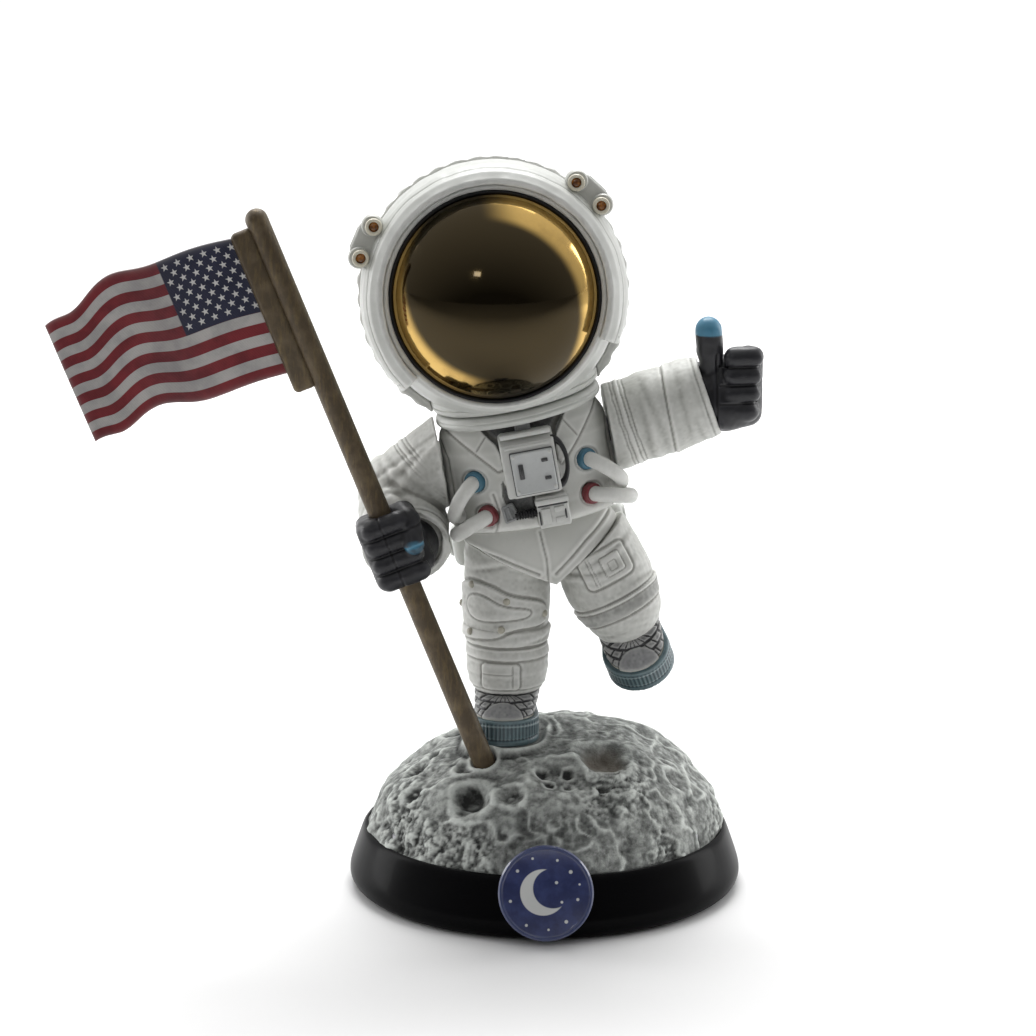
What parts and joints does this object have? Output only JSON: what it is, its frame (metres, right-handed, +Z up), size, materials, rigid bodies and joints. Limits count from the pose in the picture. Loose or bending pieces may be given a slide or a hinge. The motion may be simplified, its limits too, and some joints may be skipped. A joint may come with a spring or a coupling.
{
  "type": "collectible astronaut statuette",
  "caption": "Painted astronaut statuette on a moonscape plinth, thumb raised, holding a planted flag; helmet, arm, hand, leg and flag move.",
  "frame": {"origin": "centre of the plinth's resting face", "axes": "+Z up; the figure faces -Y; +X towards the raised hand"},
  "size_m": [0.1621, 0.0971, 0.1728],
  "materials": {
    "suit_white": "painted vinyl with a dark wash in the seams",
    "plinth_black": "gloss",
    "moon_grey": "matte resin with a dark wash and light dry-brushing",
    "badge_navy": "gloss print under a clear dome",
    "glove_black": "satin",
    "boot_grey": "satin, dry-brushed",
    "sole_teal": "matte",
    "trim_grey": "matte",
    "box_white": "satin",
    "panel_grey": "matte",
    "hose_black": "satin",
    "collar_blue": "satin",
    "collar_red": "satin",
    "visor_gold": "mirror, vacuum-plated gold",
    "lens_amber": "clear gloss",
    "pole_bronze": "satin, gold dry-brush",
    "flag_print": "satin paint",
    "foam_black": "matte",
    "screw_steel": "zinc plated"
  },
  "bodies": {
    "stand": {"base_pad": "foam_black", "base_plate": "hose_black", "plinth": "plinth_black", "plinth_screws": "screw_steel", "moon_surface": "moon_grey", "badge": "badge_navy", "foot_screw": "screw_steel", "boot_right_sole": "sole_teal", "boot_right_upper": "boot_grey", "leg_right": "suit_white", "knee_plate": "suit_white", "knee_rivets": "suit_white", "hip_peg_right": "trim_grey", "pelvis": "suit_white", "torso": "suit_white", "chest_bib": "hose_black", "harness_right": "suit_white", "harness_left": "suit_white", "neck_ring": "suit_white", "neck_peg": "trim_grey", "neck_loop": "trim_grey", "chest_box": "box_white", "chest_box_panel": "panel_grey", "chest_box_switches": "trim_grey", "camera_box": "box_white", "box_hose": "hose_black", "hose_collars_blue": "collar_blue", "hose_collars_red": "collar_red", "hoses_right": "suit_white", "hoses_left": "suit_white", "tether_buckle": "trim_grey", "tether_spring": "hose_black", "backpack": "suit_white", "backpack_base": "panel_grey", "shoulder_peg_right": "trim_grey", "sleeve_right": "suit_white", "wrist_peg_right": "trim_grey", "glove_right": "glove_black", "shoulder_peg_left": "trim_grey", "hip_peg_left": "trim_grey"},
    "helmet": {"helmet_collar": "suit_white", "helmet_shell": "suit_white", "helmet_cover": "suit_white", "helmet_hood": "suit_white", "visor": "visor_gold", "visor_gasket": "hose_black", "lamp_housings": "box_white", "lamp_bezels": "box_white", "lamp_lenses": "lens_amber"},
    "left_arm": {"sleeve_left": "suit_white"},
    "left_hand": {"glove_left": "glove_black", "wrist_peg_left": "trim_grey"},
    "left_leg": {"leg_left": "suit_white", "boot_left_upper": "boot_grey", "boot_left_sole": "sole_teal"},
    "flag": {"flag_pole": "pole_bronze", "flag_batten": "pole_bronze", "flag_cloth": "flag_print"}
  },
  "joints": [
    {"name": "neck_turn", "type": "hinge", "parent": "stand", "child": "helmet", "pos_m": [-0.00658, 0, 0.11628], "axis": [-0.2079, 0, 0.9781], "range_deg": [-45, 45]},
    {"name": "left_shoulder_swivel", "type": "hinge", "parent": "stand", "child": "left_arm", "pos_m": [0.01454, 0.00137, 0.10914], "axis": [0.9824, 0.0698, 0.1732], "range_deg": [-35, 35]},
    {"name": "left_wrist_swivel", "type": "hinge", "parent": "left_arm", "child": "left_hand", "pos_m": [0.03771, 0.00135, 0.11711], "axis": [0.9456, -0.0009, 0.3252], "range_deg": [-45, 45]},
    {"name": "left_hip_swivel", "type": "hinge", "parent": "stand", "child": "left_leg", "pos_m": [0.0104, -0.0005, 0.0822], "axis": [0.7071, 0, -0.7071], "range_deg": [-20, 20]},
    {"name": "flag_lift", "type": "slide", "parent": "stand", "child": "flag", "axis": [-0.3714, 0, 0.9285], "range_m": [0, 0.07]}
  ]
}
